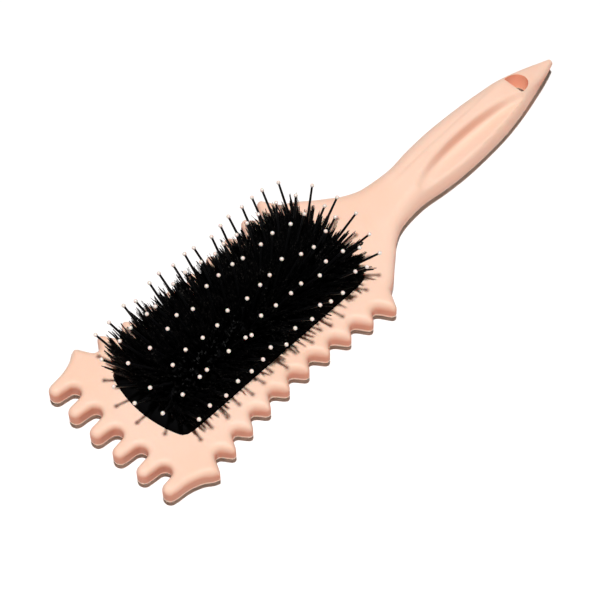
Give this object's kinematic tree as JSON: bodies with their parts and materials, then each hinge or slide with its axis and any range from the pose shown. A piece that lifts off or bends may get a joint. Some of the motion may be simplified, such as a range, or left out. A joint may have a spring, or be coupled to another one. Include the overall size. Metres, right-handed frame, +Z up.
{
  "type": "hair styling brush",
  "caption": "Flat styling brush: leaf-shaped handle with a hanging hole, pronged and toothed head, sprung rubber cushion of ball-tipped pins and bristles.",
  "frame": {"origin": "centre of the bounding box's footprint, on the flat surface that the brush's back lies on", "axes": "+X along the brush towards the handle's tip, +Z up from the back through the pins, +Y across the head"},
  "size_m": [0.25, 0.078, 0.0416],
  "materials": {
    "shell_plastic": "pale peach moulded plastic with a soft satin sheen",
    "cushion_rubber": "black soft rubber, matt",
    "retainer_plastic": "black moulded plastic, matt, out of sight inside the head",
    "pin_plastic": "black nylon pins with small pale pink balls at their tips",
    "bristle_fibre": "fine black bristle"
  },
  "bodies": {
    "body": {"front_shell": "shell_plastic", "back_shell": "shell_plastic", "cushion_retainer": "retainer_plastic", "cushion": "cushion_rubber"},
    "pin_field": {"pin_row_01": "pin_plastic", "pin_row_02": "pin_plastic", "pin_row_03": "pin_plastic", "pin_row_04": "pin_plastic", "pin_row_05": "pin_plastic", "pin_row_06": "pin_plastic", "pin_row_07": "pin_plastic", "pin_row_08": "pin_plastic", "pin_row_09": "pin_plastic", "pin_row_10": "pin_plastic", "pin_row_11": "pin_plastic", "pin_row_12": "pin_plastic", "pin_row_13": "pin_plastic", "pin_row_14": "pin_plastic", "pin_row_15": "pin_plastic", "pin_row_16": "pin_plastic", "bristles_1": "bristle_fibre", "bristles_2": "bristle_fibre", "bristles_3": "bristle_fibre", "bristles_4": "bristle_fibre"}
  },
  "joints": [
    {"name": "cushion_press", "type": "slide", "parent": "body", "child": "pin_field", "axis": [0, 0, 1], "range_m": [-0.004, 0], "stiffness_N_per_m": 5000, "deforming": ["cushion"]}
  ]
}
